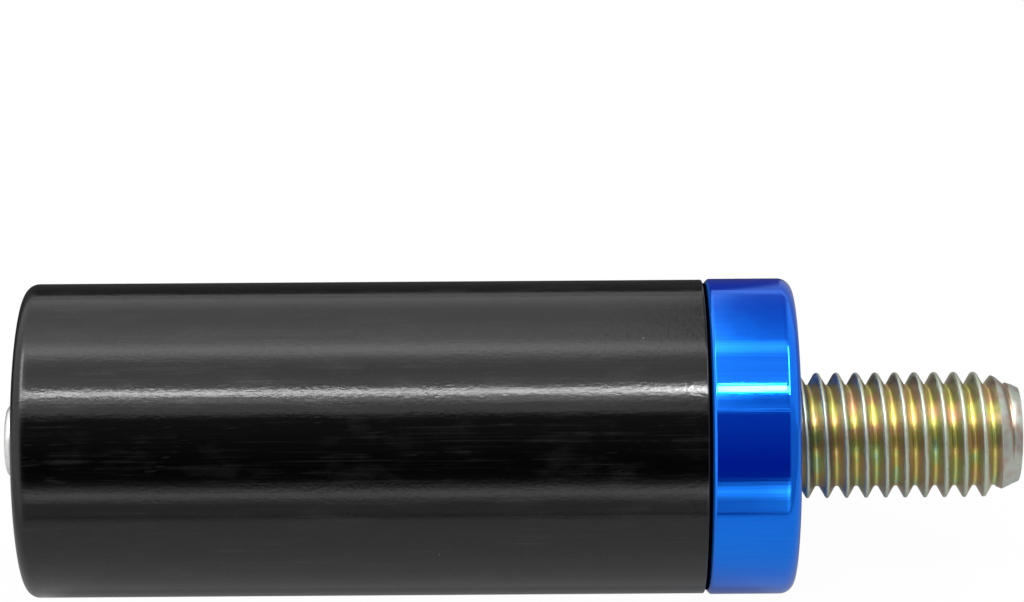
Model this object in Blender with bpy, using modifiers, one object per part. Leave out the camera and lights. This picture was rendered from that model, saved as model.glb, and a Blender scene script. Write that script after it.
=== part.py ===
"""Crash bobbin for the frame of a motorbike: a bolt-on slider that keeps the fairing off the road in a fall.

A turned black plastic body is held by a metal insert, an anodised collar spaces it from the frame, and a
fully threaded M8 stud screws the assembly into the bike. A crowned steel plug closes the hole through which
a hexagon key reaches the socket in the stud's inner end. The axis lies along +X, from the plug to the stud's
tip, and the origin is the middle of the overall length on that axis. Units are metres.
"""

import math

import bmesh
import bpy

# Slider body
BODY_DIAMETER = 0.0200
BODY_LENGTH = 0.0430
BODY_NOSE_RADIUS = 0.0008
BODY_EDGE_BREAK = 0.0002

# Collar between the body and the frame
COLLAR_PROUD = 0.00005
COLLAR_LENGTH = 0.0055
COLLAR_FACE_RADIUS = 0.0009
COLLAR_BACK_BREAK = 0.0002
COLLAR_BORE_CHAMFER = 0.0004

# Stud: ISO metric coarse thread with 60 degree flanks, cut over its whole length
THREAD_DIAMETER = 0.0080
THREAD_PITCH = 0.00125
STUD_LENGTH = 0.0400
STUD_REACH = 0.0144
STUD_POINT_DIAMETER = 0.0060
STUD_CHAMFER_DEG = 25.0
KEY_SIZE = 0.0040
KEY_DEPTH = 0.0050

# Insert that holds the stud in the plastic
INSERT_DIAMETER = 0.0120
INSERT_PAST_STUD = 0.0001
INSERT_FLANGE_DIAMETER = 0.0150
INSERT_FLANGE_THICKNESS = 0.0012
INSERT_BARBS = 4
INSERT_BARB_DEPTH = 0.0005
INSERT_PILOT_LENGTH = 0.0039
INSERT_CHAMFER = 0.0005

# Plug in the outer end
PLUG_LENGTH = 0.0070
PLUG_PROUD = 0.0014
PLUG_EDGE_RADIUS = 0.00035
PLUG_CROWN = 0.0001
PLUG_GROOVES = 3
PLUG_GROOVE_PITCH = 0.0014
PLUG_GROOVE_DEPTH = 0.0003

# Clearances and hole details
SEAT_GAP = 0.0002
FIT_GAP = 0.0002
THREAD_GAP = 0.0002
KEY_PASS_GAP = 0.0002
MOUTH_CHAMFER = 0.0003
DRILL_POINT_DEG = 118.0

# Facets round each turned piece and along the thread
BODY_FACETS = 64
INSERT_FACETS = 32
PLUG_FACETS = 24
THREAD_FACETS = 24
ARC_STEPS = 6
MERGE_DISTANCE = 0.00001
SHARP_ANGLE_DEG = 30.0

# The collar stands a hair proud of the body all round
COLLAR_DIAMETER = BODY_DIAMETER + 2 * COLLAR_PROUD

# The insert reaches just past the stud's inner end, with its barbs between the flange and a plain pilot
INSERT_LENGTH = STUD_LENGTH - STUD_REACH - COLLAR_LENGTH - SEAT_GAP + INSERT_PAST_STUD
INSERT_BARREL_LENGTH = INSERT_LENGTH - INSERT_FLANGE_THICKNESS
INSERT_BARB_PITCH = (INSERT_BARREL_LENGTH - INSERT_BARB_DEPTH - INSERT_PILOT_LENGTH) / INSERT_BARBS

# Stations along the axis, from the plug's crown to the stud's tip
OVERALL_LENGTH = PLUG_PROUD + BODY_LENGTH + SEAT_GAP + COLLAR_LENGTH + STUD_REACH
BODY_NOSE_X = PLUG_PROUD - OVERALL_LENGTH / 2
BODY_SEAT_X = BODY_NOSE_X + BODY_LENGTH
COLLAR_BACK_X = BODY_SEAT_X + SEAT_GAP
COLLAR_FACE_X = COLLAR_BACK_X + COLLAR_LENGTH
STUD_TIP_X = COLLAR_FACE_X + STUD_REACH

# The key passes through the plug's hole, and a hole clears the thread that it holds
KEY_CORNER_RADIUS = KEY_SIZE / 2 / math.cos(math.radians(30))
KEY_HOLE_RADIUS = KEY_CORNER_RADIUS + KEY_PASS_GAP
PLUG_RADIUS = KEY_HOLE_RADIUS - FIT_GAP
STUD_HOLE_RADIUS = THREAD_DIAMETER / 2 + THREAD_GAP

# Thread form
CREST_RADIUS = THREAD_DIAMETER / 2
THREAD_DEPTH = 0.61343 * THREAD_PITCH
ROOT_RADIUS = CREST_RADIUS - THREAD_DEPTH
CREST_FLAT = THREAD_PITCH / 8
FLANK_RUN = THREAD_DEPTH * math.tan(math.radians(30))
ROOT_FLAT = THREAD_PITCH - CREST_FLAT - 2 * FLANK_RUN


def clear_scene():
    """Empty the scene, so that the file gives the same model each time it is run."""
    for obj in list(bpy.data.objects):
        bpy.data.objects.remove(obj, do_unlink=True)


def new_collection(name):
    """Make a collection and link it to the scene."""
    collection = bpy.data.collections.new(name)
    bpy.context.scene.collection.children.link(collection)
    return collection


def finish(name, colour, metallic, roughness):
    """Make a Principled material."""
    material = bpy.data.materials.new(name)
    material.use_nodes = True
    shader = material.node_tree.nodes["Principled BSDF"]
    shader.inputs["Base Color"].default_value = (*colour, 1.0)
    shader.inputs["Metallic"].default_value = metallic
    shader.inputs["Roughness"].default_value = roughness
    return material


def arc(centre, radius, start_deg, end_deg, steps=ARC_STEPS):
    """Points (r, z) of an arc about a centre, ends included; 0 degrees points outwards, 90 degrees up."""
    points = []
    for step in range(steps + 1):
        angle = math.radians(start_deg + (end_deg - start_deg) * step / steps)
        points.append((centre[0] + radius * math.cos(angle), centre[1] + radius * math.sin(angle)))
    return points


def profile_mesh(name, points, closed):
    """Make a mesh of edges from (r, z) points in the XZ plane."""
    mesh = bpy.data.meshes.new(name)
    bm = bmesh.new()
    vertices = [bm.verts.new((r, 0.0, z)) for r, z in points]
    for first, second in zip(vertices, vertices[1:]):
        bm.edges.new((first, second))
    if closed:
        bm.edges.new((vertices[-1], vertices[0]))
    bm.to_mesh(mesh)
    bm.free()
    return mesh


def place(obj, collection, axis, station, material=None):
    """Link an object on the assembly's axis, at its station along it."""
    collection.objects.link(obj)
    obj.parent = axis
    obj.location = (0.0, 0.0, station)
    if material:
        obj.data.materials.append(material)
    return obj


def turn(name, points, facets, closed=False):
    """Turn a profile about its own Z with a Screw modifier; the profile runs down its outer side."""
    obj = bpy.data.objects.new(name, profile_mesh(name, points, closed))
    screw = obj.modifiers.new("turn", "SCREW")
    screw.axis = "Z"
    screw.angle = math.tau
    screw.steps = facets
    screw.render_steps = facets
    screw.use_merge_vertices = True
    screw.merge_threshold = MERGE_DISTANCE
    return obj


def cut(obj, operation, tool, name):
    """Combine an object with a tool by an exact Boolean."""
    boolean = obj.modifiers.new(name, "BOOLEAN")
    boolean.operation = operation
    boolean.solver = "EXACT"
    boolean.object = tool


def settle(obj):
    """Apply an object's modifiers, and shade it smooth between its sharp edges."""
    mesh = bpy.data.meshes.new_from_object(obj.evaluated_get(bpy.context.evaluated_depsgraph_get()))
    mesh.shade_smooth()
    mesh.set_sharp_from_angle(angle=math.radians(SHARP_ANGLE_DEG))
    obj.modifiers.clear()
    obj.data = mesh


def hide_tool(obj):
    """Keep a cutting tool out of renders and out of the model."""
    obj.hide_render = True
    obj.display_type = "WIRE"


def body_profile():
    """Half section of the slider body: rounded nose, key hole, and a stepped bore for the insert."""
    radius = BODY_DIAMETER / 2
    nose = BODY_NOSE_RADIUS
    recess_radius = INSERT_FLANGE_DIAMETER / 2 + FIT_GAP
    recess_floor = BODY_LENGTH - INSERT_FLANGE_THICKNESS - SEAT_GAP
    bore_radius = INSERT_DIAMETER / 2 + FIT_GAP
    bore_floor = BODY_LENGTH - INSERT_LENGTH - SEAT_GAP
    cone_height = (bore_radius - KEY_HOLE_RADIUS) / math.tan(math.radians(DRILL_POINT_DEG / 2))
    points = [(recess_radius, BODY_LENGTH), (radius - BODY_EDGE_BREAK, BODY_LENGTH)]
    points.append((radius, BODY_LENGTH - BODY_EDGE_BREAK))
    points += arc((radius - nose, nose), nose, 0, -90)
    points.append((KEY_HOLE_RADIUS + MOUTH_CHAMFER, 0.0))
    points.append((KEY_HOLE_RADIUS, MOUTH_CHAMFER))
    points.append((KEY_HOLE_RADIUS, bore_floor - cone_height))
    points.append((bore_radius, bore_floor))
    points.append((bore_radius, recess_floor))
    points.append((recess_radius, recess_floor))
    return points


def collar_profile():
    """Half section of the collar: rounded at the frame, edges broken at the body and in the bore."""
    radius = COLLAR_DIAMETER / 2
    rounding = COLLAR_FACE_RADIUS
    bore = STUD_HOLE_RADIUS
    points = [(bore + COLLAR_BORE_CHAMFER, COLLAR_LENGTH)]
    points += arc((radius - rounding, COLLAR_LENGTH - rounding), rounding, 90, 0)
    points.append((radius, COLLAR_BACK_BREAK))
    points.append((radius - COLLAR_BACK_BREAK, 0.0))
    points.append((bore + COLLAR_BORE_CHAMFER, 0.0))
    points.append((bore, COLLAR_BORE_CHAMFER))
    points.append((bore, COLLAR_LENGTH - COLLAR_BORE_CHAMFER))
    return points


def insert_profile():
    """Half section of the insert: flange at the body's seat, barbed barrel, plain hole for the stud."""
    barrel = INSERT_DIAMETER / 2
    flange = INSERT_FLANGE_DIAMETER / 2
    under_flange = INSERT_BARREL_LENGTH
    bore = STUD_HOLE_RADIUS
    points = [(bore + INSERT_CHAMFER, INSERT_LENGTH), (flange, INSERT_LENGTH), (flange, under_flange)]
    points.append((barrel - INSERT_BARB_DEPTH, under_flange))
    for barb in range(INSERT_BARBS):
        top = under_flange - INSERT_BARB_DEPTH - barb * INSERT_BARB_PITCH
        points.append((barrel, top - INSERT_BARB_DEPTH))
        points.append((barrel - INSERT_BARB_DEPTH, top - INSERT_BARB_PITCH + INSERT_BARB_DEPTH))
    points.append((barrel - INSERT_BARB_DEPTH - INSERT_CHAMFER, 0.0))
    points.append((bore + INSERT_CHAMFER, 0.0))
    points.append((bore, INSERT_CHAMFER))
    points.append((bore, INSERT_LENGTH - INSERT_CHAMFER))
    return points


def plug_profile():
    """Half section of the plug: grooved shank above, crowned head below."""
    radius = PLUG_RADIUS
    edge = PLUG_EDGE_RADIUS
    groove_floor = radius - PLUG_GROOVE_DEPTH
    points = [(0.0, PLUG_LENGTH), (groove_floor, PLUG_LENGTH)]
    for groove in range(PLUG_GROOVES):
        top = PLUG_LENGTH - PLUG_GROOVE_DEPTH - groove * PLUG_GROOVE_PITCH
        points.append((radius, top))
        points.append((radius, top - PLUG_GROOVE_PITCH / 2))
        points.append((groove_floor, top - PLUG_GROOVE_PITCH / 2 - PLUG_GROOVE_DEPTH / 2))
        points.append((groove_floor, top - PLUG_GROOVE_PITCH + PLUG_GROOVE_DEPTH / 2))
    points.append((radius, PLUG_LENGTH - PLUG_GROOVE_DEPTH - PLUG_GROOVES * PLUG_GROOVE_PITCH))
    points += arc((radius - edge, PLUG_CROWN + edge), edge, 0, -90)
    points.append(((radius - edge) / 2, PLUG_CROWN / 4))
    points.append((0.0, 0.0))
    return points


def thread_rod(name):
    """Make an overlong threaded rod: one pitch of the thread form screwed upwards, then capped flat."""
    turns = math.ceil(STUD_LENGTH / THREAD_PITCH) + 4
    points = [(ROOT_RADIUS, THREAD_PITCH), (ROOT_RADIUS, THREAD_PITCH - ROOT_FLAT)]
    points.append((CREST_RADIUS, THREAD_PITCH - ROOT_FLAT - FLANK_RUN))
    points.append((CREST_RADIUS, THREAD_PITCH - ROOT_FLAT - FLANK_RUN - CREST_FLAT))
    points.append((ROOT_RADIUS, 0.0))
    helix = turn("thread_helix", points, THREAD_FACETS)
    screw = helix.modifiers["turn"]
    screw.screw_offset = THREAD_PITCH
    screw.iterations = turns
    bpy.context.scene.collection.objects.link(helix)
    settle(helix)
    mesh = helix.data
    bpy.data.objects.remove(helix, do_unlink=True)
    bm = bmesh.new()
    bm.from_mesh(mesh)
    bmesh.ops.remove_doubles(bm, verts=bm.verts, dist=MERGE_DISTANCE)
    for height, direction in ((THREAD_PITCH * 1.5, -1), (THREAD_PITCH * (turns - 0.5), 1)):
        geometry = bm.verts[:] + bm.edges[:] + bm.faces[:]
        bmesh.ops.bisect_plane(
            bm, geom=geometry, plane_co=(0, 0, height), plane_no=(0, 0, direction), clear_outer=True
        )
    bmesh.ops.holes_fill(bm, edges=[edge for edge in bm.edges if edge.is_boundary])
    bmesh.ops.translate(bm, vec=(0, 0, -THREAD_PITCH * 2), verts=bm.verts)
    bmesh.ops.recalc_face_normals(bm, faces=bm.faces)
    bm.to_mesh(mesh)
    bm.free()
    return bpy.data.objects.new(name, mesh)


def stud_blank():
    """Make the blank that trims the rod to length and chamfers both of its ends."""
    point = STUD_POINT_DIAMETER / 2
    outside = CREST_RADIUS + THREAD_PITCH / 4
    chamfer = (outside - point) / math.tan(math.radians(STUD_CHAMFER_DEG))
    points = [(0.0, STUD_LENGTH), (point, STUD_LENGTH), (outside, STUD_LENGTH - chamfer)]
    points += [(outside, chamfer), (point, 0.0), (0.0, 0.0)]
    return turn("stud_blank", points, THREAD_FACETS)


def key_socket():
    """Make the hexagonal tool that sinks the key socket, with a drill point at its floor."""
    corner = KEY_CORNER_RADIUS
    floor = KEY_DEPTH + corner / math.tan(math.radians(DRILL_POINT_DEG / 2))
    points = [(0.0, floor), (corner, KEY_DEPTH), (corner, -KEY_DEPTH), (0.0, -KEY_DEPTH)]
    return turn("key_socket", points, 6)


def build():
    """Build the five pieces on a common axis."""
    clear_scene()
    bobbin = new_collection("crash_bobbin")
    tools = new_collection("cutting_tools")
    axis = bpy.data.objects.new("bobbin_axis", None)
    axis.rotation_euler = (0.0, math.pi / 2, 0.0)
    bobbin.objects.link(axis)

    black = finish("black_plastic", (0.012, 0.012, 0.013), 0.0, 0.32)
    blue = finish("blue_anodising", (0.0, 0.1, 0.62), 1.0, 0.25)
    zinc = finish("yellow_zinc", (0.52, 0.44, 0.22), 1.0, 0.35)
    brass = finish("insert_brass", (0.62, 0.45, 0.2), 1.0, 0.35)
    steel = finish("bright_steel", (0.75, 0.75, 0.75), 1.0, 0.2)

    body = turn("slider_body", body_profile(), BODY_FACETS, closed=True)
    place(body, bobbin, axis, BODY_NOSE_X, black)
    collar = turn("collar", collar_profile(), BODY_FACETS, closed=True)
    place(collar, bobbin, axis, COLLAR_BACK_X, blue)
    insert = turn("thread_insert", insert_profile(), INSERT_FACETS, closed=True)
    place(insert, bobbin, axis, BODY_SEAT_X - INSERT_LENGTH, brass)
    plug = turn("end_plug", plug_profile(), PLUG_FACETS)
    place(plug, bobbin, axis, BODY_NOSE_X - PLUG_PROUD, steel)

    stud = thread_rod("stud")
    place(stud, bobbin, axis, STUD_TIP_X - STUD_LENGTH, zinc)
    blank = place(stud_blank(), tools, axis, STUD_TIP_X - STUD_LENGTH)
    socket = place(key_socket(), tools, axis, STUD_TIP_X - STUD_LENGTH)
    for tool in (blank, socket):
        hide_tool(tool)
    cut(stud, "INTERSECT", blank, "trim_to_blank")
    cut(stud, "DIFFERENCE", socket, "key_socket")

    for piece in (body, collar, insert, plug, stud):
        settle(piece)


build()
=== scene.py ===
"""Looks of the crash bobbin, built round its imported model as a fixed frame.

A black turned slider, a blue anodised collar, a zinc-plated threaded stud and a crowned steel plug stand
for the model's plain solids. Each sub-assembly is a class that holds its sizes, shapes its mesh with bmesh
operators and wears one finish. Lengths are metres in the frame's own axes: +X runs from the plug to the
stud's tip, +Z is up. A span is the pair of numbers between which a smooth ramp runs from 0 to 1.
"""

import logging
import math
from collections.abc import Iterable, Mapping
from dataclasses import dataclass, field
from enum import Enum
from typing import Any, ClassVar, Protocol, Union

import bmesh
import bpy
from mathutils import Matrix, Vector, noise

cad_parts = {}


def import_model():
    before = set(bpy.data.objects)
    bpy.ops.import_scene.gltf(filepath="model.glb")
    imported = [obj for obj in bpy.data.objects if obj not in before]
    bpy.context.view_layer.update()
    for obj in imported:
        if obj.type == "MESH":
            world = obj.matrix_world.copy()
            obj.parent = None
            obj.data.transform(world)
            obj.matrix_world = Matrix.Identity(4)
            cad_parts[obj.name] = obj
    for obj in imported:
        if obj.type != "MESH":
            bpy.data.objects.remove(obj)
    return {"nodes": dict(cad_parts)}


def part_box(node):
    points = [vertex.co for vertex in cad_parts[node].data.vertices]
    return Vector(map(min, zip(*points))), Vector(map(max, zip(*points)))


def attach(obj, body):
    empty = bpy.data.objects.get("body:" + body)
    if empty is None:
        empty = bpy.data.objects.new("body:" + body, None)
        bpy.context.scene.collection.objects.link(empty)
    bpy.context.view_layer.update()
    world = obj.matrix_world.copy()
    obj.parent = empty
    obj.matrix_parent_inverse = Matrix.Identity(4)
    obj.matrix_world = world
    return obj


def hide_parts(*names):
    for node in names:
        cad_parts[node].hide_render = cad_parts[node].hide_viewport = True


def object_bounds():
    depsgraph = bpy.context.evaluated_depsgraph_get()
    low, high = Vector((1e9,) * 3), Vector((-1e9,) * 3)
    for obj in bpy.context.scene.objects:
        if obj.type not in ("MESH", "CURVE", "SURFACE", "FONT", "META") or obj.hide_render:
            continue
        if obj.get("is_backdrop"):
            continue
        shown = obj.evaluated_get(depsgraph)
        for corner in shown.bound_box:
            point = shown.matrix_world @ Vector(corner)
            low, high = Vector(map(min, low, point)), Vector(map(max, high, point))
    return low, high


LOG = logging.getLogger("crash_bobbin")
PHOTO_WIDTH = 1024
MILLIMETRE = 0.001
AXIS = Vector((1.0, 0.0, 0.0))

Triple = tuple[float, float, float]
Colour = Triple
Span = tuple[float, float]
Stops = Iterable[tuple[float, Colour]]
Bands = tuple[tuple[float, float], ...]
Operand = Union["Value", float]


class Slot(Enum):
    """Material slots, whose values name the materials."""

    BLACK_PLASTIC = "black_plastic"
    BLUE_ANODISING = "blue_anodising"
    YELLOW_ZINC = "yellow_zinc"
    INSERT_BRASS = "insert_brass"
    BRIGHT_STEEL = "bright_steel"


class Ray(Enum):
    """Kinds of light path that a studio surface answers apart from plain light."""

    CAMERA = "Is Camera Ray"
    GLOSSY = "Is Glossy Ray"
    TRANSMISSION = "Is Transmission Ray"


# Shader maths


class Value:
    """A number in a node tree, on which Python arithmetic adds Math nodes."""

    def __init__(self, board: "Board", socket: bpy.types.NodeSocket) -> None:
        """Wrap an output socket.

        Args:
            board: the board that the socket's node stands on.
            socket: the output that carries the number.
        """
        self.board = board
        self.socket = socket

    def _maths(self, operation: str, *operands: Operand) -> "Value":
        """Add a Math node.

        Args:
            operation: the node's operation.
            operands: its inputs in order.

        Returns:
            The node's result.
        """
        node = self.board.add("ShaderNodeMath", {"operation": operation}, dict(enumerate(operands)))
        return Value(self.board, node.outputs[0])

    def __add__(self, other: Operand) -> "Value":
        """Sum."""
        return self._maths("ADD", self, other)

    def __radd__(self, other: Operand) -> "Value":
        """Sum with the number first."""
        return self._maths("ADD", other, self)

    def __sub__(self, other: Operand) -> "Value":
        """Difference."""
        return self._maths("SUBTRACT", self, other)

    def __rsub__(self, other: Operand) -> "Value":
        """Difference with the number first."""
        return self._maths("SUBTRACT", other, self)

    def __mul__(self, other: Operand) -> "Value":
        """Product."""
        return self._maths("MULTIPLY", self, other)

    def __rmul__(self, other: Operand) -> "Value":
        """Product with the number first."""
        return self._maths("MULTIPLY", other, self)

    def __truediv__(self, other: Operand) -> "Value":
        """Quotient."""
        return self._maths("DIVIDE", self, other)

    def __rtruediv__(self, other: Operand) -> "Value":
        """Quotient with the number first."""
        return self._maths("DIVIDE", other, self)

    def __neg__(self) -> "Value":
        """Opposite."""
        return self._maths("MULTIPLY", self, -1.0)

    def __abs__(self) -> "Value":
        """Size without the sign."""
        return self._maths("ABSOLUTE", self)

    def fraction(self) -> "Value":
        """Part after the point."""
        return self._maths("FRACT", self)

    def root(self) -> "Value":
        """Square root."""
        return self._maths("SQRT", self)

    def sine(self) -> "Value":
        """Sine of an angle in radians."""
        return self._maths("SINE", self)

    def largest(self, other: Operand) -> "Value":
        """Larger of two numbers."""
        return self._maths("MAXIMUM", self, other)

    def angle_to(self, run: Operand) -> "Value":
        """Angle in radians whose tangent is this number over the run."""
        return self._maths("ARCTAN2", self, run)

    def step(self, start: float, end: float) -> "Value":
        """Ramp smoothly from 0 to 1.

        Args:
            start: the number that gives 0.
            end: the number that gives 1; it may be the smaller of the two.

        Returns:
            The smooth ramp, held at 0 and 1 outside its ends.
        """
        low, high = min(start, end), max(start, end)
        node = self.board.add(
            "ShaderNodeMapRange",
            {"interpolation_type": "SMOOTHSTEP"},
            {"Value": self, "From Min": low, "From Max": high, "To Min": 0.0, "To Max": 1.0},
        )
        rising = Value(self.board, node.outputs["Result"])
        return rising if start <= end else 1.0 - rising

    def near(self, station: float, span: Span) -> "Value":
        """Ramp smoothly over a span that is measured from a station."""
        return self.step(station + span[0], station + span[1])

    def between(self, low: Operand, high: Operand) -> "Value":
        """Turn a share into a number: 0 gives the low one and 1 gives the high one."""
        return low + (high - low) * self


@dataclass(frozen=True)
class Grain:
    """Noise whose features have a size in metres, and may be drawn out along the axes and turned."""

    size: float
    stretch: Triple = (1.0, 1.0, 1.0)
    turn: Triple = (0.0, 0.0, 0.0)
    detail: float = 2.0
    roughness: float = 0.5


class Board:
    """The node tree of one material or world, and the ways in which nodes are laid on it."""

    def __init__(self, tree: bpy.types.NodeTree) -> None:
        """Take over a node tree and clear it.

        Args:
            tree: the tree to fill.
        """
        self.tree = tree
        tree.nodes.clear()

    @classmethod
    def of_material(cls, name: str) -> tuple[bpy.types.Material, "Board"]:
        """Make a material with an empty board.

        Args:
            name: the material's name.

        Returns:
            The material and its board.
        """
        material = bpy.data.materials.new(name)
        material.use_nodes = True
        return material, cls(material.node_tree)

    def add(
        self,
        kind: str,
        settings: Mapping[str, Any] | None = None,
        sockets: Mapping[str | int, Any] | None = None,
    ) -> bpy.types.Node:
        """Add a node.

        Args:
            kind: the node's type.
            settings: its settings, set first; "stops" fills a colour ramp with (place, colour) pairs.
            sockets: for each input by name or number, a value, a Value or an output socket.

        Returns:
            The new node.
        """
        node = self.tree.nodes.new(kind)
        for name, setting in (settings or {}).items():
            if name == "stops":
                self._fill_ramp(node.color_ramp, setting)
            else:
                setattr(node, name, setting)
        for key, source in (sockets or {}).items():
            self._feed(node.inputs[key], source)
        return node

    def _feed(self, socket: bpy.types.NodeSocket, source: Any) -> None:
        """Link or set one input.

        Args:
            socket: the input.
            source: a Value or an output socket to link, or a value to set.
        """
        if isinstance(source, Value):
            self.tree.links.new(source.socket, socket)
        elif isinstance(source, bpy.types.NodeSocket):
            self.tree.links.new(source, socket)
        elif socket.type == "RGBA":
            socket.default_value = (*source, 1.0)
        else:
            socket.default_value = source

    @staticmethod
    def _fill_ramp(ramp: bpy.types.ColorRamp, stops: Stops) -> None:
        """Set a ramp's stops.

        Args:
            ramp: the ramp of a new Color Ramp node, with its two first stops.
            stops: place and colour of each stop, in order.
        """
        stops = list(stops)
        while len(ramp.elements) < len(stops):
            ramp.elements.new(1.0)
        for element, (place, colour) in zip(ramp.elements, stops):
            element.position = place
            element.color = (*colour, 1.0)

    def place(self) -> bpy.types.NodeSocket:
        """Point on the piece, in Object coordinates."""
        return self.add("ShaderNodeTexCoord").outputs["Object"]

    def axes(self, vector: bpy.types.NodeSocket) -> tuple[Value, Value, Value]:
        """Split a vector.

        Args:
            vector: the vector's socket.

        Returns:
            Its x, y and z.
        """
        node = self.add("ShaderNodeSeparateXYZ", None, {"Vector": vector})
        return Value(self, node.outputs["X"]), Value(self, node.outputs["Y"]), Value(self, node.outputs["Z"])

    def station(self) -> tuple[Value, Value]:
        """Place a point on a turned piece.

        Returns:
            Its station along X and its distance from the axis.
        """
        x, y, z = self.axes(self.place())
        return x, (y * y + z * z).root()

    def grain(self, grain: Grain) -> Value:
        """Lay noise over the piece.

        Args:
            grain: the noise.

        Returns:
            Noise about 0.5.
        """
        lengths = tuple(grain.size * length for length in grain.stretch)
        mapping = self.add(
            "ShaderNodeMapping",
            {"vector_type": "TEXTURE"},
            {"Vector": self.place(), "Rotation": grain.turn, "Scale": lengths},
        )
        sockets = {
            "Vector": mapping.outputs[0],
            "Scale": 1.0,
            "Detail": grain.detail,
            "Roughness": grain.roughness,
        }
        return Value(self, self.add("ShaderNodeTexNoise", None, sockets).outputs[0])

    @staticmethod
    def waves(distance: Value, pitch: float) -> Value:
        """Waves between -1 and 1 that repeat at a pitch along a distance."""
        return (distance * (math.tau / pitch)).sine()

    def tint(self, factor: Value, stops: Stops) -> bpy.types.NodeSocket:
        """Colour of a ramp at a factor."""
        return self.add("ShaderNodeValToRGB", {"stops": stops}, {"Fac": factor}).outputs["Color"]

    def blend(self, factor: Operand, first: Any, second: Any) -> bpy.types.NodeSocket:
        """Mix two colours.

        Args:
            factor: share of the second colour.
            first: the first colour or its socket.
            second: the second colour or its socket.

        Returns:
            The mixed colour.
        """
        colours = {"Factor": factor, 6: first, 7: second}
        return self.add("ShaderNodeMix", {"data_type": "RGBA"}, colours).outputs[2]

    def bump(self, height: Value, distance: float, under: Any = None) -> bpy.types.NodeSocket:
        """Turn a height into a normal.

        Args:
            height: the height, about 0 to 1.
            distance: what a height of 1 stands for, in metres.
            under: the normal that this one is laid over, if any.

        Returns:
            The normal.
        """
        sockets = {"Height": height, "Distance": distance, "Strength": 1.0}
        if under is not None:
            sockets["Normal"] = under
        return self.add("ShaderNodeBump", None, sockets).outputs["Normal"]

    def principled(self, sockets: Mapping[str | int, Any]) -> bpy.types.NodeSocket:
        """Add a Principled shader and return its output."""
        return self.add("ShaderNodeBsdfPrincipled", None, sockets).outputs["BSDF"]

    def mixed(
        self, share: Operand, first: bpy.types.NodeSocket, second: bpy.types.NodeSocket
    ) -> bpy.types.NodeSocket:
        """Mix two shaders.

        Args:
            share: share of the second shader.
            first: the first shader.
            second: the second shader.

        Returns:
            The mixed shader.
        """
        return self.add("ShaderNodeMixShader", None, {0: share, 1: first, 2: second}).outputs[0]

    def show(self, shader: bpy.types.NodeSocket) -> None:
        """Send a shader to the material's output."""
        self.add("ShaderNodeOutputMaterial", None, {"Surface": shader})


# Finishes


class Finish(Protocol):
    """What every finish offers."""

    slot: Slot

    def material(self) -> bpy.types.Material:
        """Build the finish's material."""
        ...


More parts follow.
